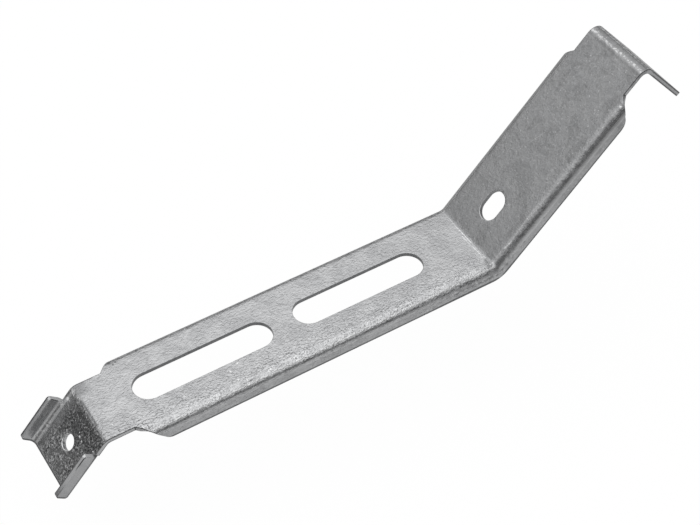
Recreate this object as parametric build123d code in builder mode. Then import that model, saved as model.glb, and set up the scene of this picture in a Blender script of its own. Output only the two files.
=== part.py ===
from build123d import *
from math import cos, radians, sin, tan
import os

os.makedirs("parts", exist_ok=True)

# One galvanised sheet, folded into a bracket.
# The slotted run lies along X with its top face at Z = 0 and the origin midway between the slots.
# The raised run climbs from its +X end, and the hook with the small hole drops from its -X end.

# Sheet
sheet_thickness = 2.0
fold_inner_radius = 2.0

# Channel: a web with a flange folded down along each long side
channel_width = 40.0
flange_height = 8.2

# Slotted run, between the corners where its top face would meet its neighbours
raised_corner_x = 86.5
hook_corner_x = -82.0
slot_length = 58.5
slot_width = 13.0
slot_spacing = 69.0

# Raised run, bent up, with a short slot
raised_angle = 47.0
raised_length = 98.0
raised_bend_radius = 1.8
short_slot_distance = 16.5
short_slot_length = 13.0
short_slot_width = 9.0

# End tab, bent down past square at the top of the raised run
end_tab_angle = 94.5
end_tab_length = 31.5
end_tab_bend_radius = 2.8

# Hook, bent down at the low end, with two ears folded back up
hook_angle = 48.0
hook_length = 28.0
hook_bend_radius = 2.5
hook_width = 32.0
hook_hole_diameter = 6.5
hook_hole_distance = 14.6
ear_height = 5.6
ear_start = 7.2
ear_corner_radius = 1.2
far_ear_lean = 4.0

# Cropped ends of the channel, where the flanges run out into the necks
hook_neck_inset = 1.4
tab_neck_inset = 0.4
hook_crop_distance = 11.6
tab_crop_distance = 14.0
crop_fold_run = 5.8
hook_crop_angle = 48.0
tab_crop_angle = 58.0
hook_crop_radius = 4.0
tab_crop_radius = 6.0

# Room that a cutter takes beyond the sheet
cut_clearance = 1.0

fold_outer_radius = fold_inner_radius + sheet_thickness
fold_line_y = channel_width / 2 - fold_outer_radius
hook_neck_width = 2 * (fold_line_y - hook_neck_inset)
end_tab_width = 2 * (fold_line_y - tab_neck_inset)


def climbing_plane(corner, angle):
    """Plane of a folded face: X climbs at an angle from a side-view corner, Z points out of the top."""
    run, rise = cos(radians(angle)), sin(radians(angle))
    return Plane(origin=(corner[0], 0, corner[1]), x_dir=(run, 0, rise), z_dir=(-rise, 0, run))


def side_point(plane, distance):
    """Side-view point of a folded face, a distance along its X axis."""
    point = plane.from_local_coords((distance, 0, 0))
    return (point.X, point.Z)


def outward_plane(plane, distance, direction):
    """Plane on a folded face with its X axis along the face in a direction, 1 or -1."""
    origin = plane.from_local_coords((distance, 0, 0))
    return Plane(origin=origin, x_dir=plane.x_dir * direction, z_dir=plane.z_dir)


def across_plane(plane, distance):
    """Plane across a folded face, with its X axis to the far side and its Y axis out of the top."""
    origin = plane.from_local_coords((distance, 0, 0))
    return Plane(origin=origin, x_dir=plane.y_dir, z_dir=plane.x_dir)


# Folded faces
slotted_plane = Plane.XY
raised_plane = climbing_plane((raised_corner_x, 0), raised_angle)
end_tab_plane = climbing_plane(side_point(raised_plane, raised_length), raised_angle - end_tab_angle)
hook_plane = climbing_plane((hook_corner_x, 0), hook_angle)

# Ends of the channel
channel_low_x = hook_corner_x + hook_crop_distance
channel_high_distance = raised_length - tab_crop_distance


def beyond_fold(found_edges):
    """Edges that lie in the flanges, outside the fold lines of the channel."""
    return found_edges.filter_by(lambda edge: abs(edge.center().Y) > fold_line_y)


def is_ear_corner(edge):
    """True for the short edge through the sheet at each free corner of an ear."""
    height = hook_plane.to_local_coords(edge.center()).Z
    return height > ear_height - sheet_thickness / 2 and edge.length < 2 * sheet_thickness


def crop_cutter(neck_inset, angle):
    """Cutter for both sides of a channel end, square to the sheet all the way round the fold.

    X runs out of the channel from the point where the crop meets the neck, Z out of the top face.
    """
    inner_reach = fold_inner_radius - cut_clearance
    outer_reach = fold_outer_radius + cut_clearance
    fold_height = fold_outer_radius - fold_inner_radius + 2 * cut_clearance
    flange_low = -flange_height - cut_clearance
    flange_run = (flange_height + cut_clearance - fold_outer_radius) / tan(radians(angle))
    web_edge = -neck_inset
    flange_edge = web_edge - crop_fold_run
    fold_steps = 4
    with BuildPart() as cutter:
        with BuildSketch(Plane.XY.offset(inner_reach - fold_outer_radius)):
            with BuildLine():
                Polyline(
                    (0, fold_line_y - neck_inset),
                    (cut_clearance, fold_line_y - neck_inset),
                    (cut_clearance, fold_line_y),
                    (web_edge, fold_line_y),
                    close=True,
                )
            make_face()
        extrude(amount=fold_height)
        for step in range(fold_steps + 1):
            turn = radians(90 * step / fold_steps)
            edge = web_edge - crop_fold_run * step / fold_steps
            fold_origin = (0, fold_line_y, -fold_outer_radius)
            with BuildSketch(Plane(fold_origin, x_dir=(1, 0, 0), z_dir=(0, -cos(turn), sin(turn)))):
                with BuildLine():
                    Polyline(
                        (edge, inner_reach),
                        (cut_clearance, inner_reach),
                        (cut_clearance, outer_reach),
                        (edge, outer_reach),
                        close=True,
                    )
                make_face()
        loft()
        with BuildSketch(Plane.XZ.offset(-fold_line_y - outer_reach)):
            with BuildLine():
                Polyline(
                    (flange_edge, -fold_outer_radius),
                    (cut_clearance, -fold_outer_radius),
                    (cut_clearance, flange_low),
                    (flange_edge - flange_run, flange_low),
                    close=True,
                )
            make_face()
        extrude(amount=fold_height)
        mirror(about=Plane.XZ)
    return cutter.part


hook_crop = crop_cutter(hook_neck_inset, hook_crop_angle)
tab_crop = crop_cutter(tab_neck_inset, tab_crop_angle)

with BuildPart() as bracket:
    # Channel, swept along the slotted run and round the bend into the raised run
    with BuildLine(Plane.XZ) as channel_path:
        FilletPolyline(
            (channel_low_x, 0),
            (raised_corner_x, 0),
            side_point(raised_plane, channel_high_distance),
            radius=raised_bend_radius,
        )
    with BuildSketch(across_plane(slotted_plane, channel_low_x)):
        with BuildLine():
            FilletPolyline(
                (-channel_width / 2, -flange_height),
                (-channel_width / 2, 0),
                (channel_width / 2, 0),
                (channel_width / 2, -flange_height),
                radius=fold_outer_radius,
            )
            offset(amount=sheet_thickness, side=Side.RIGHT)
        make_face()
    sweep(path=channel_path.line)

    # Cropped channel ends, with the lower corner of each flange rounded
    hook_end = outward_plane(slotted_plane, channel_low_x, -1)
    tab_end = outward_plane(raised_plane, channel_high_distance, 1)
    add(hook_crop.moved(hook_end.location), mode=Mode.SUBTRACT)
    add(tab_crop.moved(tab_end.location), mode=Mode.SUBTRACT)
    fillet(beyond_fold(edges().filter_by(Axis.Y)).group_by(Axis.X)[0], radius=hook_crop_radius)
    fillet(beyond_fold(edges().filter_by(Axis.Y)).group_by(Axis.X)[-1], radius=tab_crop_radius)

    # Neck and bend of the hook, down to where its ears begin
    with BuildSketch(Plane.XZ):
        with BuildLine():
            FilletPolyline(
                (channel_low_x, 0),
                (hook_corner_x, 0),
                side_point(hook_plane, -ear_start),
                radius=hook_bend_radius + sheet_thickness,
            )
            offset(amount=sheet_thickness, side=Side.LEFT)
        make_face()
    extrude(amount=hook_neck_width / 2, both=True)

    # Neck and bend of the end tab
    with BuildSketch(Plane.XZ):
        with BuildLine():
            FilletPolyline(
                side_point(raised_plane, channel_high_distance),
                side_point(raised_plane, raised_length),
                side_point(end_tab_plane, end_tab_length),
                radius=end_tab_bend_radius + sheet_thickness,
            )
            offset(amount=sheet_thickness, side=Side.RIGHT)
        make_face()
    extrude(amount=end_tab_width / 2, both=True)

    # Hook face between its two ears
    far_ear_top = hook_width / 2 + (ear_height + sheet_thickness) * tan(radians(far_ear_lean))
    with BuildSketch(across_plane(hook_plane, -ear_start)):
        with BuildLine():
            FilletPolyline(
                (-hook_width / 2, ear_height),
                (-hook_width / 2, -sheet_thickness),
                (hook_width / 2, -sheet_thickness),
                (far_ear_top, ear_height),
                radius=fold_outer_radius,
            )
            offset(amount=sheet_thickness, side=Side.LEFT)
        make_face()
    extrude(amount=ear_start - hook_length)

    # Free corners of the ears
    fillet(edges().filter_by(is_ear_corner), radius=ear_corner_radius)

    # Slots and hole, punched square to the sheet
    with BuildSketch(slotted_plane):
        with GridLocations(slot_spacing, 0, 2, 1):
            SlotOverall(slot_length, slot_width)
    with BuildSketch(raised_plane):
        with Locations((short_slot_distance, 0)):
            SlotOverall(short_slot_length, short_slot_width)
    with BuildSketch(hook_plane):
        with Locations((-hook_hole_distance, 0)):
            Circle(hook_hole_diameter / 2)
    extrude(amount=sheet_thickness + cut_clearance, both=True, mode=Mode.SUBTRACT)

bracket.part.label = "bracket"
export_step(bracket.part, "parts/bracket.step")
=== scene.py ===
import math
import bmesh
import bpy
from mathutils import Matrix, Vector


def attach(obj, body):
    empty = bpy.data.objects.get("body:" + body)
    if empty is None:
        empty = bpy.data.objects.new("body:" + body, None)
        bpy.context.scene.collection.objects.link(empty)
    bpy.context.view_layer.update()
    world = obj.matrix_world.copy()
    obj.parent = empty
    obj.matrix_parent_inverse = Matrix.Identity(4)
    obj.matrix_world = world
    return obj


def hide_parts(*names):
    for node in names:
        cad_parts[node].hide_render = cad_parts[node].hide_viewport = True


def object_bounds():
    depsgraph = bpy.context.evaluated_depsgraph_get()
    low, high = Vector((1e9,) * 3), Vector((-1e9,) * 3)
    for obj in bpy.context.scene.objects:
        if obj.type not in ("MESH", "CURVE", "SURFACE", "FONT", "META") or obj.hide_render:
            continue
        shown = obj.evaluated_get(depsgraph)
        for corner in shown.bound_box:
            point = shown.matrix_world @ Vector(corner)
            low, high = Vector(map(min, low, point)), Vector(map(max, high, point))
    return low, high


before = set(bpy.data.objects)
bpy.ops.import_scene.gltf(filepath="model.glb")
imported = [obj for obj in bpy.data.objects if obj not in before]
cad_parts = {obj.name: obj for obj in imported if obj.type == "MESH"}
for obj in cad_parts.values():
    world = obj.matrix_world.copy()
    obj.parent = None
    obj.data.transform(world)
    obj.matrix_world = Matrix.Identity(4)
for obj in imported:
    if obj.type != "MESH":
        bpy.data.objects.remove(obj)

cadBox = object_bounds()
print("frame loaded")

mm = 0.001


# Shader maths

class Wire:
    # A socket of a shader node, so that sums and masks read as expressions
    def __init__(self, shader, socket):
        self.shader = shader
        self.socket = socket

    def output(self, name):
        return Wire(self.shader, self.socket.node.outputs[name])

    def __add__(self, other):
        return self.shader.math("ADD", self, other)

    def __radd__(self, other):
        return self.shader.math("ADD", other, self)

    def __sub__(self, other):
        return self.shader.math("SUBTRACT", self, other)

    def __rsub__(self, other):
        return self.shader.math("SUBTRACT", other, self)

    def __mul__(self, other):
        return self.shader.math("MULTIPLY", self, other)

    def __rmul__(self, other):
        return self.shader.math("MULTIPLY", other, self)

    def __neg__(self):
        return 0 - self

    def __abs__(self):
        return self.shader.math("ABSOLUTE", self)


class Shader:
    # The node tree of a material or of the world
    def __init__(self, owner):
        owner.use_nodes = True
        self.tree = owner.node_tree
        self.tree.nodes.clear()

    # Any node: its type, its settings, then the values or links of its sockets
    def node(self, kind, settings=None, sockets=None):
        made = self.tree.nodes.new(kind)
        for name, value in (settings or {}).items():
            setattr(made, name, value)
        for name, value in (sockets or {}).items():
            if isinstance(value, Wire):
                self.tree.links.new(value.socket, made.inputs[name])
            else:
                made.inputs[name].default_value = value
        return Wire(self, made.outputs[0]) if made.outputs else None

    def math(self, operation, *values):
        return self.node("ShaderNodeMath", {"operation": operation}, dict(enumerate(values)))

    def vectorMath(self, operation, *vectors):
        return self.node("ShaderNodeVectorMath", {"operation": operation}, dict(enumerate(vectors)))

    def scaled(self, vector, share):
        return self.node("ShaderNodeVectorMath", {"operation": "SCALE"}, {0: vector, "Scale": share})

    def distance(self, first, second):
        return self.vectorMath("DISTANCE", first, second).output("Value")

    def dot(self, first, second):
        return self.vectorMath("DOT_PRODUCT", first, second).output("Value")

    def degrees(self, across, along):
        return self.math("ARCTAN2", across, along) * math.degrees(1)

    def largest(self, first, *others):
        for other in others:
            first = self.math("MAXIMUM", first, other)
        return first

    # 1 above a range and 0 below it, with a soft step inside it
    def above(self, value, ends):
        low, high = ends
        return self.node("ShaderNodeMapRange", {"interpolation_type": "SMOOTHSTEP", "clamp": False},
                         {"Value": value, "From Min": low, "From Max": high})

    def below(self, value, ends):
        return 1 - self.above(value, ends)

    # 1 between the two middle values of a range, with soft ends
    def between(self, value, ends):
        start, full, fade, end = ends
        return self.above(value, (start, full)) * self.below(value, (fade, end))

    def mixColor(self, factor, first, second):
        return self.node("ShaderNodeMix", {"data_type": "RGBA"},
                         {"Factor": factor, "A": first, "B": second}).output(2)


# From first to second as share goes from 0 to 1
def blend(first, second, share):
    return first + (second - first) * share


# Galvanised finish with painted light and shade, drawn by where a point lies on the folded sheet

folds = {
    "mainBend": (86.5, 0.0, 47.0),       # corner in side view, X and Z in millimetres, and climb in degrees
    "hookBend": (-82.0, 0.0, 48.0),
    "tabBend": (153.34, 71.67, -47.5),
    "foldLine": 16.0,                    # how far from the middle the flanges start to turn down
    "foldRadius": 4.0,
    "thickness": 2.0,
    "flangeHeight": 8.2,
    "earFold": (12.0, 2.0),              # middle of the far ear's fold: Y, and height above the hook's top face
    "holeAxis": (-91.77, 0.0, -10.85),   # of the hook's hole, at the top face
}

# Parts of the sheet. A pair is where a part starts and where it is full; four values also give where it
# starts to fade and where it ends, here and in all that follows. Sizes are in millimetres.
sheetParts = {
    "raisedRun": (-1, 1),                # past the main bend
    "hook": (-0.5, 1),                   # past the hook's bend
    "tab": (4, 6),                       # past the tab's bend
    "farHalf": (-1, 1),                  # Y
    "farEar": (7.0, 10.5),
    "opening": (6.8, 7.2),               # distance from the middle, up to the side of the long slots
    "top": (15.1, 15.35),                # and up to the side of the necks
    "flange": (50, 75),                  # degrees round the fold
    "hookFace": (0.6, 1.6),              # height, up to the ears
    "hookLow": (5.5, 15.5),              # depth
    "brokenFold": (20, 80, 95, 125),     # X where the painted dark line along the near fold is broad and broken
    "mainBend": (48, 70, 90, 104),       # X round the main bend
}

# Noises: size of the grains in millimetres, detail and distortion
zincNoises = {
    "cloud": (9.0, 4.0, 0.6),
    "wave": (2.4, 2.0, 1.0),
    "grain": (0.92, 2.0, 1.2),
    "crust": (0.62, 1.0, 0.0),
    "patch": (5.0, 2.0, 0.5),            # rough patches on the hook and along the near fold
    "blotch": (13.0, 5.0, 1.5),          # stains on the raised run
    "grit": (0.68, 1.0, 0.0),
    "mottle": (1.4, 5.0, 0.8),
    "smudge": (1.3, 4.0, 0.0),
    "wander": (1.4, 3.0, 0.0),           # how lines along folds and bends wander
    "dots": (1.0, 3.0, 0.0),
    "tabDots": (0.9, 2.0, 0.0),
    "foldBlot": (1.7, 3.0, 0.6),
    "streak": (0.9, 2.0, 0.0),
    "crystal": (0.84, 2.0, 0.0),
    "speckle": (0.8, 2.0, 0.4),
}

# What several marks share
sharedMarks = {
    "cloud": (0.38, 0.64),               # values of the noise between which the mask comes in
    "patch": (0.42, 0.56),
    "smudge": (0.42, 0.58),
    "dots": (0.42, 0.60),
    "wanderWidth": 26,
    "gritInMottle": 0.45,
    "mottle": 0.56,
    "noiseRoughness": 0.55,
    "blobEdge": (0.6, 1.2),              # shares of a blob's radius between which it ends
    "lineEdge": (0.8, 1.6),              # and of half a line's width
}

# Blobs of bright zinc and dark pits: middle in millimetres, and radius
zincBeads = [
    (-84.9, 12.6, -3.4, 0.9),            # far side of the neck
    (-91.2, -14.7, -1.9, 1.0),           # upper end of the near ear
    (-87.9, -3.1, -6.6, 0.45), (-88.2, -5.3, -6.9, 0.4), (-87.2, -2.0, -5.9, 0.3), (-86.9, -12.6, -5.4, 0.35),
    (141.6, -17.4, 57.7, 0.8), (93.5, -17.2, 6.0, 0.5), (95.6, -15.9, 8.3, 0.45), (117.1, -16.8, 31.4, 0.45),
    (-28.6, -10.3, 0.0, 0.45), (-27.9, -15.2, 0.0, 0.42), (-24.5, -8.2, 0.0, 0.42), (-76.8, -9.2, 0.0, 0.3),
]
zincPits = [
    (-65.6, 17.4, -0.3, 0.8), (-64.6, 15.8, 0.0, 0.5), (-63.2, 16.4, 0.0, 0.45),
    (87.5, -19.2, -1.6, 0.8), (86.0, -17.0, -0.2, 0.4), (84.4, -18.2, -0.7, 0.5), (89.2, -20.0, -2.5, 0.5),
    (81.2, -20.0, -4.6, 0.4), (76.5, -19.9, -3.7, 0.45), (91.0, -18.8, 3.2, 0.7), (-80.2, 12.2, -0.7, 0.5),
    (99.5, -20.0, 8.0, 0.45), (108.0, -19.9, 17.0, 0.4), (97.2, -19.8, 6.6, 0.35), (133.5, -19.6, 48.5, 0.4),
]
earBlobs = [(-91.0, -15.0, -2.0, 0.9)]   # rough matt zinc at the upper end of the near ear

# Bright lines, partly scratches and partly painted highlights along the folds and bends, then dark lines: both
# ends in millimetres, half the width, and strength
zincScratchesAndHighlights = [
    # painted highlights along the far ear
    (-87.0, 13.9, -3.5, -99.4, 13.5, -18.4, 0.20, 0.85),
    (-86.3, 13.0, -4.4, -98.9, 11.7, -18.8, 0.26, 0.80),
    # painted highlights along the main bend
    (86.3, 13.6, 0.0, 85.8, 9.0, 0.0, 0.12, 0.55),
    (85.7, 8.0, 0.0, 86.0, 3.0, 0.0, 0.17, 0.80),
    (85.9, 3.4, 0.0, 85.9, -3.4, 0.0, 0.19, 0.80),
    (84.9, 1.4, 0.0, 84.8, -4.4, 0.0, 0.22, 0.85),
    (85.1, -5.6, 0.0, 85.4, -11.0, 0.0, 0.22, 0.90),
    (86.0, -12.0, 0.0, 86.0, -15.2, 0.0, 0.13, 0.50),
    # painted highlights along the near fold of the raised run
    (92.2, -17.2, 5.9, 94.9, -17.5, 8.6, 0.35, 0.80),
    (95.5, -17.3, 9.4, 106.6, -16.4, 21.6, 0.22, 0.35),
    # low on the hook
    (-96.9, 2.7, -16.5, -98.3, -2.9, -18.1, 0.16, 0.40),
    (-96.4, -1.5, -16.0, -97.6, -7.4, -17.3, 0.14, 0.40),
    (-98.4, 1.3, -18.3, -98.6, -1.1, -18.4, 0.12, 0.40),
    # on the raised run
    (127.7, 8.5, 44.2, 126.6, 0.3, 43.0, 0.12, 0.40),
    (124.4, -8.5, 40.7, 120.4, -10.7, 36.4, 0.14, 0.40),
    (117.6, 4.8, 33.4, 122.4, 2.1, 38.5, 0.12, 0.40),
    (130.6, 7.9, 47.3, 130.5, 2.5, 47.2, 0.12, 0.40),
]
zincDarkLines = [
    # where the near fold meets the main bend
    (86.2, -14.6, 0.0, 84.6, -18.4, -0.8, 1.2, 0.50),
    (84.6, -18.4, -0.8, 79.5, -19.2, -1.6, 0.9, 0.35),
    (88.0, -19.1, -0.4, 89.6, -19.1, 1.4, 1.2, 0.50),
]


class Zinc(Shader):
    # Where a point lies on the folded sheet, and the masks of its parts
    def __init__(self, material, strengths):
        super().__init__(material)
        self.strengths = strengths
        self.marks = dict.fromkeys(strengths, 0)
        place = self.node("ShaderNodeTexCoord").output("Object")
        self.point = self.node("ShaderNodeMapping", {}, {"Vector": place, "Scale": (1 / mm, 1 / mm, 1 / mm)})
        split = self.node("ShaderNodeSeparateXYZ", {}, {0: self.point})
        self.x, self.y, self.z = split, split.output("Y"), split.output("Z")
        self.side = abs(self.y)
        self.facing = self.node("ShaderNodeNewGeometry").output("True Normal")

        raised, hook, self.tab = (self.aboveFace(folds[bend]) for bend in ("mainBend", "hookBend", "tabBend"))
        channel = self.math("MINIMUM", self.z, raised)
        self.height = self.largest(channel, hook, self.tab)
        self.turn = self.degrees(self.side - folds["foldLine"], self.height + folds["foldRadius"])
        self.pastMainBend = self.z - raised
        self.pastTabBend = self.tab - raised
        hookCorner, _, drop = folds["hookBend"]
        self.upHook = (math.cos(math.radians(drop)), 0, math.sin(math.radians(drop)))
        self.alongHook = (self.x - hookCorner) * self.upHook[0] + self.z * self.upHook[2]

        self.onRaised = self.above(self.pastMainBend, sheetParts["raisedRun"])
        self.onHook = self.above(hook - self.z, sheetParts["hook"])
        self.onMain = (1 - self.onRaised) * (1 - self.onHook)
        self.onTab = self.above(self.pastTabBend, sheetParts["tab"])
        self.onTop = self.below(self.side, sheetParts["top"])
        self.onFlange = self.above(self.turn, sheetParts["flange"])
        self.isNear = self.below(self.y, sheetParts["farHalf"])
        self.opening = self.below(self.side, sheetParts["opening"])
        self.nearFold = self.isNear * (1 - self.onHook)
        self.farEar = self.onHook * self.above(self.y, sheetParts["farEar"])
        self.hookFace = self.onHook * self.below(self.height, sheetParts["hookFace"])
        self.lowHook = self.hookFace * self.above(-self.z, sheetParts["hookLow"])
        self.grainy = self.hookFace * (1 - self.farEar)
        self.brokenFold = self.between(self.x, sheetParts["brokenFold"])
        self.atMainBend = self.between(self.x, sheetParts["mainBend"])

        self.crustNoise = self.noise("crust")
        self.cloud, self.patch, self.smudge, self.dots = (
            self.above(self.noise(name), sharedMarks[name]) for name in ("cloud", "patch", "smudge", "dots"))
        self.wander = (self.noise("wander") - 0.5) * sharedMarks["wanderWidth"]
        self.grit = self.noise("grit")
        mottle = self.noise("mottle") - 0.5 + (self.grit - 0.5) * sharedMarks["gritInMottle"]
        self.mottle = mottle * sharedMarks["mottle"]

    # Height above the face that climbs from a bend
    def aboveFace(self, bend):
        cornerX, cornerZ, angle = bend
        climb = math.radians(angle)
        return (cornerX - self.x) * math.sin(climb) + (self.z - cornerZ) * math.cos(climb)

    def noise(self, name, vector=None):
        size, detail, distortion = zincNoises[name]
        return self.node("ShaderNodeTexNoise", {}, {
            "Vector": vector or self.point, "Scale": 1 / size, "Detail": detail,
            "Roughness": sharedMarks["noiseRoughness"], "Distortion": distortion})

    # 1 inside any of the blobs, whose edges are ragged
    def inBlobs(self, blobs):
        found = 0
        for *middle, radius in blobs:
            edge = [share * radius for share in sharedMarks["blobEdge"]]
            away = self.distance(self.point, middle) + (self.crustNoise - 0.5) * radius
            found = self.largest(found, self.below(away, edge))
        return found

    # The strength of the line that a point lies on
    def alongLines(self, lines, ragged):
        found = 0
        for *ends, reach, strength in lines:
            start, end = ends[:3], ends[3:]
            span = [last - first for first, last in zip(start, end)]
            fromStart = self.vectorMath("SUBTRACT", self.point, start)
            share = self.dot(fromStart, span) * (1 / sum(part * part for part in span))
            share = self.node("ShaderNodeClamp", {}, {"Value": share})
            away = self.distance(fromStart, self.scaled(span, share)) + ragged * reach
            edge = [share * reach for share in sharedMarks["lineEdge"]]
            found = self.largest(found, strength * self.below(away, edge))
        return found

    # Adds a mark to those of its kind, of which the strongest shows at each point. It is added as soon as it
    # is made, because Cycles has room for few waiting values, and draws a shader that needs more in black.
    def mark(self, kind, name, mask):
        self.marks[kind] = self.largest(self.marks[kind], mask * self.strengths[kind][name])


# Along the near fold, in degrees round it: rough zinc, painted highlights and a dark line of painted shade
nearFoldMarks = {
    "crust": (-30, 0, 42, 52),           # rough zinc
    "raisedCrust": 0.30,                 # how much of it the raised run has
    "salt": (0.60, 0.67),                # values of its noise that are bright grains
    "saltLeast": 0.3,                    # how much there is outside the rough patches
    "pepper": (-64, -38, 42, 52),
    "pepperGrains": (0.34, 0.42),        # values below which they are dark grains
    "pepperLeast": 0.25,
    "raisedPepper": 0.4,
    "lift": (28, 38, 46, 56),            # painted highlight above the dark line, on the slotted run
    "lowStripe": (60, 69, 82, 94),       # painted highlight below it
    "raisedLowStripe": (38, 49, 82, 94),
    "line": (60, 41),                    # middle of the dark line of painted shade, on each run
    "lineReach": (9, 24),                # half its width at the hook end, and where it is broken
    "lineWander": 0.08,
    "lineEdge": (-5, 0),
    "lineShade": (0.50, 0.29),        # on each run
    "lineGap": (0, 1, 3, 6),             # millimetres past the main bend where it is weaker
    "lineGapShare": 0.7,
    "lineBroken": 0.9,
    "blots": (24, 38, 98, 120),          # dark blots round the main bend
    "raisedBlots": (24, 32, 52, 66),
    "raisedBlotShare": 0.85,
    "blotGrains": (0.46, 0.54),
}


def markNearFold(zinc, marks):
    def stripe(name):
        return zinc.between(zinc.turn, marks[name])

    zinc.crust = stripe("crust") * zinc.nearFold * blend(1, marks["raisedCrust"], zinc.onRaised)
    salt = zinc.above(zinc.crustNoise, marks["salt"]) * zinc.crust
    zinc.mark("bright", "salt", salt * blend(marks["saltLeast"], 1, zinc.patch))
    pepper = zinc.below(zinc.crustNoise, marks["pepperGrains"]) * stripe("pepper") * zinc.nearFold
    pepper = pepper * blend(marks["pepperLeast"], 1, zinc.patch)
    zinc.mark("darkAndShade", "pepper", pepper * blend(1, marks["raisedPepper"], zinc.onRaised))

    # Painted highlights in stripes above and below the dark line
    zinc.mark("bright", "foldLift", stripe("lift") * zinc.isNear * zinc.onMain)
    lowStripe = [blend(*angles, zinc.onRaised) for angles in zip(marks["lowStripe"], marks["raisedLowStripe"])]
    zinc.mark("bright", "lowStripe", zinc.between(zinc.turn, lowStripe) * zinc.nearFold)

    # The dark line along the fold is painted shade, broken in places
    reach = blend(*marks["lineReach"], zinc.brokenFold)
    wandering = zinc.turn + zinc.wander * (reach * marks["lineWander"])
    offLine = abs(wandering - blend(*marks["line"], zinc.onRaised))
    line = zinc.below(offLine - reach, marks["lineEdge"]) * zinc.nearFold
    line = line * (1 - marks["lineGapShare"] * zinc.between(zinc.pastMainBend, marks["lineGap"]))
    line = line * blend(*marks["lineShade"], zinc.onRaised)
    broken = zinc.largest(zinc.brokenFold, zinc.onRaised) * marks["lineBroken"] * (1 - zinc.smudge)
    zinc.mark("darkAndShade", "foldLine", line * (1 - broken))

    blots = stripe("blots") * zinc.isNear * zinc.atMainBend
    raisedBlots = stripe("raisedBlots") * zinc.isNear * zinc.onRaised * marks["raisedBlotShare"]
    blots = zinc.largest(blots, raisedBlots)
    zinc.mark("darkAndShade", "blots", blots * zinc.below(zinc.noise("foldBlot"), marks["blotGrains"]))


# Painted highlights and painted shade along the bends, in millimetres past the bend
bendMarks = {
    "mainLine": (-1.1, -0.7, -0.4, -0.1),
    "mainShade": (-0.45, -0.1, 0.25, 0.9),
    "tabLine": (-3.7, -2.9, -2.2, -1.5),
    "tabGlow": (-4.6, -3.2, -2.6, -1.0),
    "tabRidge": (1.3, 2.0, 2.9, 3.7),
    "wander": {"mainLine": 0.01, "mainShade": 0.03, "tabLine": 0.09, "tabGlow": 0.10, "tabRidge": 0.04},
    "lineEnds": (5, 25),                 # degrees round the folds, where the lines along the main bend end
    "tabDots": (0.47, 0.58),
    "ridgeLeast": 0.4,
}


def markBends(zinc, marks):
    def line(pastBend, name):
        return zinc.between(pastBend + zinc.wander * marks["wander"][name], marks[name])

    onWeb = zinc.below(zinc.turn, marks["lineEnds"])
    # Painted highlight and painted shade along the main bend
    zinc.mark("bright", "mainLine", line(zinc.pastMainBend, "mainLine") * zinc.dots * onWeb)
    zinc.mark("darkAndShade", "mainBend", line(zinc.pastMainBend, "mainShade") * onWeb)
    # Painted highlights along the tab's bend; the ridge is partly matt
    tabDots = zinc.above(zinc.noise("tabDots"), marks["tabDots"])
    zinc.mark("bright", "tabLine", line(zinc.pastTabBend, "tabLine") * tabDots * zinc.onTop)
    zinc.mark("bright", "tabGlow", line(zinc.pastTabBend, "tabGlow") * zinc.onTop)
    ridge = line(zinc.pastTabBend, "tabRidge") * zinc.onTop * blend(marks["ridgeLeast"], 1, zinc.smudge)
    zinc.mark("bright", "tabRidge", ridge)
    zinc.mark("cut", "tabRidge", ridge)


# Painted highlight on the far fold of the raised run, and painted shade on the walls of the punched slots
raisedMarks = {
    "farFoldHighlight": (16.0, 17.2),             # Y
    "farFoldEnd": 80,                    # degrees round the fold
    "wallShade": (0.0, 0.15, 1.65, 1.9),      # height above the sheet's lower face
    "wallEnd": (108, 112),               # X past the short slot
}


def markRaisedRun(zinc, marks):
    farFoldHighlight = zinc.onRaised * zinc.above(zinc.y, marks["farFoldHighlight"]) * (1 - zinc.onTab)
    zinc.mark("bright", "farFoldHighlight", farFoldHighlight * zinc.math("LESS_THAN", zinc.turn, marks["farFoldEnd"]))
    # Painted shade on the walls of the slots
    wallShade = zinc.between(zinc.height + folds["thickness"], marks["wallShade"]) * zinc.opening
    zinc.mark("darkAndShade", "wallShade", wallShade * (1 - zinc.onHook) * zinc.below(zinc.x, marks["wallEnd"]))


hookMarks = {
    "streakStretch": 0.06,               # streaks along the fold of the far ear, over its painted highlights
    "streak": (0.40, 0.62),
    "streakAngles": ((50, 58, 74, 86), (-4, 6, 28, 40)),     # degrees round that fold, where its painted highlights lie
    "streakLeast": 0.75,
    "earFaceLight": (0.30, 0.10),             # painted light on the far ear, high up and low down
    "earFaceFade": (12, 20),             # millimetres down the hook, as every length here
    "earFaceStreaks": 0.15,
    "holeWallShade": (3.9, 4.1),              # distance from the middle of the hole
    "holeWallTop": (-0.4, -0.15),        # height
    "ringHighlight": (3.1, 3.3, 3.55, 4.05),      # painted highlight in a ring round the hole, on its lower left
    "ringSide": (13.2, 15.2),
    "ringSlant": 0.6,
    "neckLift": (-7.5, -5, -2.6, -1.2),  # painted highlight past the hook's bend, on its far side
    "neckLiftSide": (4, 10),
    "farCorner": (-3, -1, 1.2, 4.6),     # painted shade at the bend, on its far side
    "farCornerSide": (6.5, 12.5),
    "lightGrains": (0.53, 0.63),         # values of the noise
    "darkGrains": (0.37, 0.48),
    "lightLeast": 0.45,
    "darkLeast": 0.50,
    "grainMatt": (0.14, 0.40),           # matt share of the light grains, high up and low down
    "grainLift": 0.7,                    # how much the light grains brighten
    "lowLift": 0.34,                     # how much painted light brightens the low part of the hook
}


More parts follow.
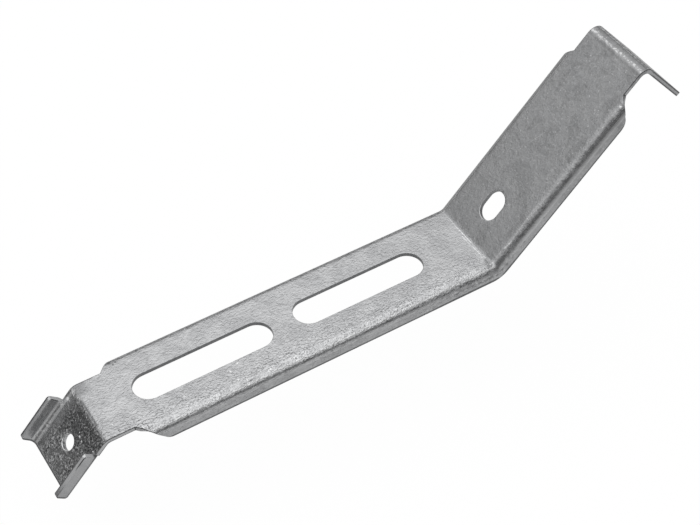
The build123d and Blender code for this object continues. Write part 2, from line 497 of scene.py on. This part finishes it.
def markHook(zinc, marks):
    acrossHook = zinc.node("ShaderNodeCombineXYZ", {}, {
        0: zinc.alongHook * marks["streakStretch"], 1: zinc.y, 2: zinc.height})
    streak = zinc.above(zinc.noise("streak", acrossHook), marks["streak"])
    earY, earHeight = folds["earFold"]
    earTurn = zinc.degrees(zinc.y - earY, earHeight - zinc.height)
    # Painted light on the far ear's face and painted highlights along its fold, broken by streaks
    earStreaks = zinc.largest(*(zinc.between(earTurn, angles) for angles in marks["streakAngles"])) * zinc.farEar
    earFaceLight = blend(*marks["earFaceLight"], zinc.above(-zinc.alongHook, marks["earFaceFade"]))
    zinc.mark("bright", "farEar", zinc.farEar * (earFaceLight + marks["earFaceStreaks"] * streak))
    zinc.mark("bright", "earStreaks", earStreaks * blend(marks["streakLeast"], 1, streak))
    zinc.mark("cut", "earStreaks", earStreaks)

    # Painted shade on the wall of the hole, and a painted highlight in a ring round it
    fromHole = zinc.distance(zinc.point, folds["holeAxis"])
    holeWallShade = zinc.below(fromHole, marks["holeWallShade"]) * zinc.below(zinc.height, marks["holeWallTop"])
    holeWallShade = holeWallShade * zinc.onHook
    zinc.mark("darkAndShade", "holeWallShade", holeWallShade)
    ringSide = zinc.above(zinc.y * marks["ringSlant"] - zinc.alongHook, marks["ringSide"])
    zinc.mark("bright", "ringHighlight", zinc.between(fromHole, marks["ringHighlight"]) * ringSide * (1 - holeWallShade))
    # A painted highlight and painted shade past the hook's bend, on its far side
    for kind, name in (("bright", "neckLift"), ("darkAndShade", "farCorner")):
        zinc.mark(kind, name, zinc.above(zinc.y, marks[name + "Side"]) * zinc.between(zinc.alongHook, marks[name]))

    crystal = zinc.noise("crystal")
    lightGrains = zinc.above(crystal, marks["lightGrains"]) * zinc.grainy
    lightGrains = lightGrains * blend(marks["lightLeast"], 1, zinc.patch)
    darkGrains = zinc.below(crystal, marks["darkGrains"]) * zinc.grainy
    darkGrains = darkGrains * blend(marks["darkLeast"], 1, zinc.patch)
    zinc.mark("darkAndShade", "darkGrains", darkGrains)
    zinc.mark("cut", "lightGrains", lightGrains * blend(*marks["grainMatt"], zinc.lowHook))
    # Painted light on the low part of the hook, with the real light grains
    zinc.hookLift = zinc.lowHook * marks["lowLift"] * (1 - darkGrains) + lightGrains * marks["grainLift"]


# Cut sides of the sheet, and its dark outlines of painted shade, in millimetres
edgeMarks = {
    "facing": (0.85, 0.95),              # share of a face's normal that points the way of a cut
    "neckSide": (13.6, 14.2, 14.9, 15.2),
    "neckX": (-87.2, -86.9, -66, -64),
    "neckUnderside": (-1.7, -1.3),
    "neckRim": (13.95, 14.25),           # Y, X and height of the far edge of the neck
    "neckRimX": (-84, -83, -74, -73),
    "neckRimHeight": (-0.6, -0.3),
    "earEndX": (-80, -78),
    "earEndSide": (9, 10),
    "farEarLean": 0.8,
    "innerRim": (14.5, 14.8),
    "innerRimHeight": (5.0, 5.35),
    "outerRim": (15.6, 15.9),            # Y, as the far ear's alone
    "outerRimHeight": (5.2, 5.4),
    "earTop": (14.5, 14.8),              # the near ear's
    "earTopHeight": (5.2, 5.45),
    "earTopFade": (-27, -19),            # along the hook
    "earTopLeast": 0.2,
    "earTopEdge": (15.55, 15.75),        # painted dark line along its outer edge
    "earTopEdgeFade": (-15, -11),
    "earLine": (14.4, 14.7),
    "earLineHeight": (5.0, 5.3),
    "earCornerX": (-92.6, -92, -84, -82),    # where the upper end of the near ear has no outline
    "earCornerHeight": (4.9, 5.2),
    "underEar": (6.9, 7.1),              # down the hook
    "underEarSide": (13.4, 14.6),
    "underEarHeight": (0.7, 1.8),
    "lowEdge": (0.8, 1.3),               # above the flanges' lower edge
    "lowEdgeDrop": 0.35,                 # how much wider it is at the main bend
    "hookEnd": (-27.4, -26.8),           # along the hook
    "tabSide": (15.4, 15.5),
    "tabMiddle": (-1.6, -1.2, -0.8, -0.4),   # height of the paler middle of the tab's side
    "farRim": (16.5, 17.2),              # Y, of the far fold of the raised run
    "farRimAngles": (17, 25, 70, 80),
}


def markEdges(zinc, marks):
    height, side = zinc.height, zinc.side
    nearHook = zinc.onHook * zinc.isNear

    sideways = abs(zinc.dot(zinc.facing, (0, 1, 0)))
    neckSide = zinc.above(sideways, marks["facing"]) * zinc.between(side, marks["neckSide"])
    neckSide = neckSide * zinc.between(zinc.x, marks["neckX"])
    earEnd = zinc.above(zinc.dot(zinc.facing, zinc.upHook), marks["facing"])
    earEnd = earEnd * zinc.below(zinc.x, marks["earEndX"]) * zinc.above(side, marks["earEndSide"])
    leaning = side - marks["farEarLean"] * (1 - zinc.isNear)
    innerRim = zinc.onHook * zinc.below(leaning, marks["innerRim"]) * zinc.above(height, marks["innerRimHeight"])
    innerRim = innerRim * (1 - zinc.isNear)
    earTop = nearHook * zinc.above(height, marks["earTopHeight"]) * zinc.above(side, marks["earTop"])
    earTop = earTop * blend(marks["earTopLeast"], 1, zinc.above(zinc.alongHook, marks["earTopFade"]))
    topEdge = zinc.above(zinc.alongHook, marks["earTopEdgeFade"]) * zinc.above(side, marks["earTopEdge"])
    earTop = earTop * (1 - topEdge)
    zinc.mark("cut", "neckSide", neckSide)
    zinc.mark("cut", "earEnd", earEnd)
    zinc.mark("cut", "innerRim", innerRim)
    zinc.mark("cut", "earTop", earTop)
    zinc.mark("cut", "earBlobs", zinc.inBlobs(earBlobs))

    # Painted shade: dark outlines along the rounded edges and along the ears' rims
    crisp = zinc.node("ShaderNodeAttribute", {"attribute_name": "crispEdge"}).output("Fac") * (1 - zinc.opening)
    earCorner = zinc.between(zinc.x, marks["earCornerX"]) * zinc.below(height, marks["earCornerHeight"])
    crisp = crisp * (1 - nearHook * earCorner)
    zinc.mark("edge", "crisp", crisp * (1 - zinc.largest(innerRim, earTop)))
    outerRim = zinc.onHook * zinc.above(zinc.y, marks["outerRim"])
    zinc.mark("edge", "outerRim", outerRim * zinc.above(height, marks["outerRimHeight"]))
    earLine = nearHook * zinc.above(height, marks["earLineHeight"]) * zinc.below(side, marks["earLine"])
    zinc.mark("edge", "earLine", earLine * (1 - earEnd))
    underEar = zinc.below(height, marks["underEarHeight"]) * zinc.isNear * zinc.above(side, marks["underEarSide"])
    zinc.mark("edge", "underEar", underEar * zinc.above(-zinc.alongHook, marks["underEar"]))
    zinc.mark("edge", "hookEnd", zinc.below(zinc.alongHook, marks["hookEnd"]))
    zinc.mark("edge", "underNeck", zinc.below(height, marks["neckUnderside"]) * neckSide)
    neckRim = zinc.above(zinc.y, marks["neckRim"]) * zinc.between(zinc.x, marks["neckRimX"])
    zinc.mark("edge", "neckRim", neckRim * zinc.above(height, marks["neckRimHeight"]))

    # Painted shade along the flanges' lower edges, the far fold's rim and the tab's side
    aboveLowEdge = height + folds["flangeHeight"] - marks["lowEdgeDrop"] * zinc.atMainBend
    zinc.mark("edge", "lowEdge", zinc.below(aboveLowEdge, marks["lowEdge"]) * (1 - zinc.onHook))
    farRim = zinc.onRaised * zinc.above(zinc.y, marks["farRim"]) * (1 - zinc.onTab)
    zinc.mark("edge", "farRim", farRim * zinc.between(zinc.turn, marks["farRimAngles"]))
    tabSide = zinc.onTab * zinc.above(side, marks["tabSide"])
    zinc.mark("edge", "tabSide", tabSide * (1 - zinc.between(zinc.tab, marks["tabMiddle"])))


# Heights of the bumps in millimetres
zincRelief = {
    "wave": 0.16,
    "raisedWave": 0.42,                  # how much of the waves and the grain the raised run has
    "grain": 0.31,
    "raisedGrain": 0.11,
    "grainStretch": 0.6,
    "grainShare": 0.72,                  # of the grain on the slotted run, on its far side
    "nearGrain": 0.42,                   # more of it on the near side, between these distances
    "nearGrainSide": (3, 15),
    "cloudGrain": 0.20,                  # and more where it is clouded
    "speckle": 0.17,                     # on the hook
    "speckleLeast": 0.35,
    "crust": 0.10,
}


def zincBump(zinc, relief):
    waves = zinc.noise("wave") * (relief["wave"] * blend(1, relief["raisedWave"], zinc.onRaised))
    stretched = zinc.node("ShaderNodeMapping", {}, {"Vector": zinc.point, "Scale": (relief["grainStretch"], 1, 1)})
    share = relief["grainShare"] + relief["nearGrain"] * zinc.above(-zinc.y, relief["nearGrainSide"])
    share = zinc.onMain * (share + relief["cloudGrain"] * zinc.cloud) + zinc.onRaised * relief["raisedGrain"]
    grain = zinc.noise("grain", stretched) * (relief["grain"] * share)
    speckleShare = zinc.onHook * blend(relief["speckleLeast"], 1, zinc.patch)
    speckle = zinc.noise("speckle") * (speckleShare * relief["speckle"])
    crust = zinc.crustNoise * (zinc.crust * relief["crust"])
    height = waves + grain + speckle + crust
    return zinc.node("ShaderNodeBump", {}, {"Height": height, "Strength": 1.0, "Distance": mm})


# How light each part is, against the plain zinc: painted shade and painted light on the hook, the raised run, its
# flange, the tab and by the near fold, and real stains and clouds
partTonesAndShade = {
    "hook": (0.74, 1.22),                # painted shade high up and painted light low down
    "hookDepth": (3, 17),
    "raised": (1.10, 0.90),              # painted light near the main bend and painted shade at the top
    "raisedX": (95, 150),
    "stain": (0.40, 0.66),               # stains on the raised run, each with a paler outline
    "stainTone": 0.15,
    "outline": 0.53,
    "outlineWidth": (0.0, 0.014),
    "outlineTone": 0.12,
    "cloudTone": 0.06,
    "raisedFlangeShade": 0.14,                # how much painted shade darkens the flange of the raised run
    "flangeMottle": (0.7, 1.6),          # at the hook end, and where the line along the fold is broken
    "nearStrip": (8, 13),                # distance from the middle to the strip of painted light along the near fold
    "nearStripLight": 0.11,
    "tabBend": (-5.6, -4.6, 0.2, 1.4),   # millimetres past the tab's bend, where painted shade lies
    "tabBendShade": 0.35,
    "tabShade": 0.32,
}


def partToneAndShade(zinc, tones):
    # Painted shade and light along the hook and the raised run
    hookShadeAndLight = blend(*tones["hook"], zinc.above(-zinc.z, tones["hookDepth"]))
    raisedTone = blend(*tones["raised"], zinc.above(zinc.x, tones["raisedX"]))
    blotch = zinc.noise("blotch")
    stainOutline = zinc.below(abs(blotch - tones["outline"]), tones["outlineWidth"])
    raisedTone = raisedTone - zinc.above(blotch, tones["stain"]) * tones["stainTone"]
    raisedTone = raisedTone + stainOutline * tones["outlineTone"] + (zinc.cloud - 0.5) * tones["cloudTone"]
    # Painted shade on the flange of the raised run
    raisedTone = (raisedTone + zinc.mottle) * (1 - tones["raisedFlangeShade"] * zinc.onFlange)
    flangeMottle = zinc.onMain * zinc.onFlange * zinc.mottle * blend(*tones["flangeMottle"], zinc.brokenFold)
    # Painted light in a strip by the near fold, and painted shade on the tab's bend and face
    nearStrip = zinc.onMain * zinc.above(-zinc.y, tones["nearStrip"]) * (1 - zinc.onFlange)
    tabBend = zinc.between(zinc.pastTabBend, tones["tabBend"])
    tone = blend(1, hookShadeAndLight, zinc.grainy) * blend(1, raisedTone, zinc.onRaised)
    tone = tone * (1 + flangeMottle) * (1 + nearStrip * tones["nearStripLight"])
    return tone * (1 - tabBend * tones["tabBendShade"]) * (1 - zinc.onTab * zinc.onTop * tones["tabShade"])


zincFinish = {
    "base": (0.604, 0.609, 0.617, 1),
    "clouded": (0.545, 0.550, 0.559, 1),
    "depth": 0.82,                       # all of it is darkened to this share, so that grains can be lighter too
    "darkAndShade": (0.10, 0.102, 0.106, 1),     # painted shade in the punched openings and the hole and along the folds and bends, and the dark zinc of pits, blots and grains, and dark lines where the near fold meets the main bend
    "beadAndHighlight": (0.88, 0.885, 0.89, 1),      # painted highlights along the folds, bends and ears and round the hole, and zinc that gathered or was rubbed bright
    "cutTone": (0.34, 0.343, 0.348, 1),      # matt, on the cut sides of the neck and the ends of the ears, and on part of the painted highlights of the tab's bend and the far ear
    "outlineShadeTone": (0.038, 0.039, 0.041, 1),    # painted shade, matt, along the outlines of the sheet
    "roughness": (0.29, 0.35),           # where it is clear, and where it is clouded
    "brightLineRagged": 0.8,
    "grit": (0.70, 0.74),                # values of the noise that are bright dots on the raised run
    "gritBrightness": 0.55,
    "beadOverCut": 0.45,                 # how much of a bead shows on a cut side
    "beadMatt": 0.6,
    "strengths": {                       # of the marks, by kind
        "bright": {
            "beads": 1, "scratchesAndHighlights": 1, "salt": 0.7, "foldLift": 0.38, "lowStripe": 0.24, "mainLine": 0.15,
            "tabLine": 0.46, "tabGlow": 0.08, "tabRidge": 1, "farFoldHighlight": 0.85, "farEar": 1, "earStreaks": 1,
            "ringHighlight": 0.5, "neckLift": 0.35,
        },
        "darkAndShade": {
            "wallShade": 0.72, "foldLine": 1, "mainBend": 0.50, "blots": 0.62, "pepper": 0.72, "pits": 0.7,
            "darkLines": 1, "darkGrains": 0.78, "holeWallShade": 0.45, "farCorner": 0.55,
        },
        "cut": {
            "neckSide": 1, "earEnd": 1, "earBlobs": 1, "earTop": 0.9, "innerRim": 0.40, "tabRidge": 0.45,
            "earStreaks": 0.22, "lightGrains": 1,
        },
        "edge": {
            "crisp": 1, "outerRim": 1, "earLine": 0.8, "lowEdge": 0.92, "hookEnd": 0.92, "underEar": 0.92,
            "underNeck": 0.92, "tabSide": 0.92, "farRim": 0.736, "neckRim": 0.736,
        },
    },
}


def makeZinc(finish):
    material = bpy.data.materials.new("galvanised_zinc")
    zinc = Zinc(material, finish["strengths"])
    markNearFold(zinc, nearFoldMarks)
    markBends(zinc, bendMarks)
    markRaisedRun(zinc, raisedMarks)
    markHook(zinc, hookMarks)
    markEdges(zinc, edgeMarks)
    beads = zinc.inBlobs(zincBeads)
    zinc.mark("bright", "beads", beads)
    brightLineRagged = zinc.crustNoise * (1 + zinc.dots) * finish["brightLineRagged"]
    zinc.mark("bright", "scratchesAndHighlights", zinc.alongLines(zincScratchesAndHighlights, brightLineRagged))
    zinc.mark("darkAndShade", "pits", zinc.inBlobs(zincPits))
    zinc.mark("darkAndShade", "darkLines", zinc.alongLines(zincDarkLines, zinc.crustNoise - 0.5))

    grit = zinc.above(zinc.grit, finish["grit"]) * (zinc.onRaised * finish["gritBrightness"])
    bright = zinc.largest(zinc.marks["bright"] + zinc.hookLift, grit)
    darkAndShade, edge = zinc.marks["darkAndShade"], zinc.marks["edge"]
    cut = zinc.marks["cut"] * (1 - beads * finish["beadOverCut"])

    color = zinc.mixColor(zinc.cloud, finish["base"], finish["clouded"])
    # Painted shade and light of each part, with its real stains and clouds
    color = zinc.mixColor(partToneAndShade(zinc, partTonesAndShade) * finish["depth"], (0, 0, 0, 1), color)
    # Painted shade with the dark zinc, painted highlights with the bright zinc, the matt cut sides, and the
    # painted dark outlines
    for mask, tone in ((darkAndShade, "darkAndShade"), (bright, "beadAndHighlight"), (cut, "cutTone"), (edge, "outlineShadeTone")):
        color = zinc.mixColor(mask, color, finish[tone])
    surface = zinc.node("ShaderNodeBsdfPrincipled", {}, {
        "Base Color": color,
        "Metallic": 1 - zinc.largest(cut, edge, beads * finish["beadMatt"]),
        "Roughness": blend(*finish["roughness"], zinc.cloud),
        "Normal": zincBump(zinc, zincRelief),
    })
    zinc.node("ShaderNodeOutputMaterial", {}, {"Surface": surface})
    return material


# The folded sheet

sheetMesh = {
    "mergeDistance": 0.001,      # millimetres, as the other lengths
    "flatAngle": 1.0,            # degrees
    "sharpAngle": 42.0,
    "rounding": 0.24,
    "segments": 3,
    "cell": 3.0,
    "cutPrecision": 0.0001,
    "flatWeight": 90,            # how much the flat faces hold the shading beside them
    "keptSharp": ((-88.2, 11.0, -8.0), (-84.5, 17.0, -3.5)),    # where an ear, the neck and the hook meet
}


# True for an edge whose middle lies in a box that is given for the far side and stands for both
def isInside(edge, box):
    middle = (edge.verts[0].co + edge.verts[1].co) / 2
    return all(low * mm < distance < high * mm for low, distance, high in
               zip(box[0], (middle.x, abs(middle.y), middle.z), box[1]))


# Cuts every face on evenly spaced planes, so that none is long and thin
def cutIntoCells(sheet, cell, precision):
    low, high = cadBox
    for axis in range(3):
        direction = [0, 0, 0]
        direction[axis] = 1
        count = math.ceil((high[axis] - low[axis]) / (cell * mm))
        for number in range(1, count):
            point = [0, 0, 0]
            point[axis] = low[axis] + number * (high[axis] - low[axis]) / count
            everything = sheet.verts[:] + sheet.edges[:] + sheet.faces[:]
            bmesh.ops.bisect_plane(sheet, geom=everything, dist=precision * mm, plane_co=point, plane_no=direction)


def makeSheet(settings):
    piece = bpy.data.objects.new("folded_sheet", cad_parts["bracket"].data.copy())
    bpy.context.scene.collection.objects.link(piece)
    sheet = bmesh.new()
    sheet.from_mesh(piece.data)
    bmesh.ops.remove_doubles(sheet, verts=sheet.verts, dist=settings["mergeDistance"] * mm)
    flatAngle, sharpAngle = (math.radians(settings[name]) for name in ("flatAngle", "sharpAngle"))
    bmesh.ops.dissolve_limit(sheet, verts=sheet.verts, edges=sheet.edges, angle_limit=flatAngle)
    crispEdge = sheet.faces.layers.float.new("crispEdge")
    sharp = [edge for edge in sheet.edges
             if edge.calc_face_angle(0) > sharpAngle and not isInside(edge, settings["keptSharp"])]
    rounded = bmesh.ops.bevel(
        sheet, geom=sharp, offset=settings["rounding"] * mm, offset_type="OFFSET", affect="EDGES",
        segments=settings["segments"], profile=0.5, clamp_overlap=False, material=-1)
    for face in rounded["faces"]:
        face[crispEdge] = 1
    cutIntoCells(sheet, settings["cell"], settings["cutPrecision"])
    bmesh.ops.triangulate(sheet, faces=[face for face in sheet.faces if len(face.verts) > 4])
    for face in sheet.faces:
        face.smooth = True
    sheet.to_mesh(piece.data)
    sheet.free()
    piece.modifiers.new("flat faces stay flat", "WEIGHTED_NORMAL").weight = settings["flatWeight"]
    piece.data.materials.clear()
    piece.data.materials.append(makeZinc(zincFinish))
    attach(piece, "root")
    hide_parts("bracket")
    return piece


folded = makeSheet(sheetMesh)
print("sheet made:", len(folded.data.polygons), "faces")


# Studio

studio = {
    "floorDrop": 30,             # millimetres below the lowest point
    "floorSize": (1000, 800),
    "shadowShare": 0.05,         # how much of the floor's white is lit by the lamps
    "glossShare": 0.4,           # how much of it is plain white in the metal
    "floorLevels": (0.08, 0.73), # how bright the metal shows the floor, far to the left and under the part
    "leftFade": (-260, -40),     # X between which its light comes up
    "frontFade": (-320, -50),    # Y between which it comes up from this share
    "frontShare": 0.55,
    "belowLevel": 0.40,          # all else below the horizon
    "belowDepths": (0.02, 0.12), # where that light starts, and where it is full
    "skyHeights": (0.10, 0.90),  # where the light starts to climb above the horizon, and where it is full
    "skyLevels": (0.06, 1.30),   # at those heights
    "fillLevel": 1.0,            # what lights the floor
    "softboxPlace": (0, 260, 740),
    "softboxSize": (500, 400),
    "softboxWatts": 0.15,
}


def makeFloor(settings):
    width, depth = (side * mm for side in settings["floorSize"])
    mesh = bpy.data.meshes.new("floor")
    piece = bpy.data.objects.new("floor", mesh)
    bpy.context.scene.collection.objects.link(piece)
    plane = bmesh.new()
    bmesh.ops.create_grid(plane, x_segments=1, y_segments=1, size=0.5)
    bmesh.ops.scale(plane, vec=(width, depth, 1), verts=plane.verts)
    bmesh.ops.translate(plane, vec=(0, 0, cadBox[0].z - settings["floorDrop"] * mm), verts=plane.verts)
    plane.to_mesh(mesh)
    plane.free()
    material = bpy.data.materials.new("white_floor")
    shader = Shader(material)
    isCamera = shader.node("ShaderNodeLightPath")
    isGlossy = isCamera.output("Is Glossy Ray")
    place = shader.node("ShaderNodeTexCoord").output("Object")
    x = shader.node("ShaderNodeSeparateXYZ", {}, {0: place})
    left, front = ([edge * mm for edge in settings[name]] for name in ("leftFade", "frontFade"))
    pool = shader.above(x, left) * blend(settings["frontShare"], 1, shader.above(x.output("Y"), front))
    level = blend(1, blend(*settings["floorLevels"], pool), isGlossy)
    white = shader.node("ShaderNodeEmission", {}, {"Color": (1, 1, 1, 1), "Strength": level})
    lit = shader.node("ShaderNodeBsdfDiffuse", {}, {"Color": level})
    seen = isCamera + isCamera.output("Is Transmission Ray")
    whiteShare = seen * (1 - settings["shadowShare"]) + isGlossy * settings["glossShare"]
    surface = shader.node("ShaderNodeMixShader", {}, {0: whiteShare, 1: lit, 2: white})
    below = shader.node("ShaderNodeNewGeometry").output("Backfacing")
    clear = shader.node("ShaderNodeBsdfTransparent")
    shown = shader.node("ShaderNodeMixShader", {}, {0: below, 1: surface, 2: clear})
    shader.node("ShaderNodeOutputMaterial", {}, {"Surface": shown})
    mesh.materials.append(material)


def makeWorld(settings):
    world = bpy.data.worlds.new("studio")
    bpy.context.scene.world = world
    shader = Shader(world)
    direction = shader.node("ShaderNodeTexCoord")
    up = shader.node("ShaderNodeSeparateXYZ", {}, {0: direction}).output("Z")
    gloss = blend(*settings["skyLevels"], shader.above(up, settings["skyHeights"]))
    belowLight = settings["belowLevel"] - settings["skyLevels"][0]
    gloss = gloss + belowLight * shader.above(-up, settings["belowDepths"])
    isCamera = shader.node("ShaderNodeLightPath")
    light = blend(settings["fillLevel"], gloss, isCamera.output("Is Glossy Ray"))
    level = blend(light, 1, isCamera)
    background = shader.node("ShaderNodeBackground", {}, {"Color": (1, 1, 1, 1), "Strength": level})
    shader.node("ShaderNodeOutputWorld", {}, {"Surface": background})


def makeSoftbox(settings):
    light = bpy.data.lights.new("softbox", "AREA")
    light.shape = "RECTANGLE"
    light.size, light.size_y = (side * mm for side in settings["softboxSize"])
    light.energy = settings["softboxWatts"]
    lamp = bpy.data.objects.new("softbox", light)
    bpy.context.scene.collection.objects.link(lamp)
    lamp.location = [distance * mm for distance in settings["softboxPlace"]]
    lamp.rotation_euler = (-lamp.location).to_track_quat("-Z", "Y").to_euler()


makeFloor(studio)
makeWorld(studio)
makeSoftbox(studio)
print("studio made")


# Camera

photoCamera = {
    "place": (-176.66, -327.69, 442.91),
    "turn": (42.297, -0.322, -31.928),   # degrees about X, Y and Z
    "lens": 77.24,                       # millimetres, for this width of the sensor
    "sensorWidth": 36,
    "clip": (0.01, 10),                  # metres
}


def makeCamera(settings):
    data = bpy.data.cameras.new("camera")
    data.lens = settings["lens"]
    data.sensor_width = settings["sensorWidth"]
    data.clip_start, data.clip_end = settings["clip"]
    camera = bpy.data.objects.new("camera", data)
    bpy.context.scene.collection.objects.link(camera)
    camera.location = [distance * mm for distance in settings["place"]]
    camera.rotation_euler = [math.radians(angle) for angle in settings["turn"]]
    bpy.context.scene.camera = camera


makeCamera(photoCamera)
bpy.context.scene.view_settings.view_transform = "Standard"

print("done")
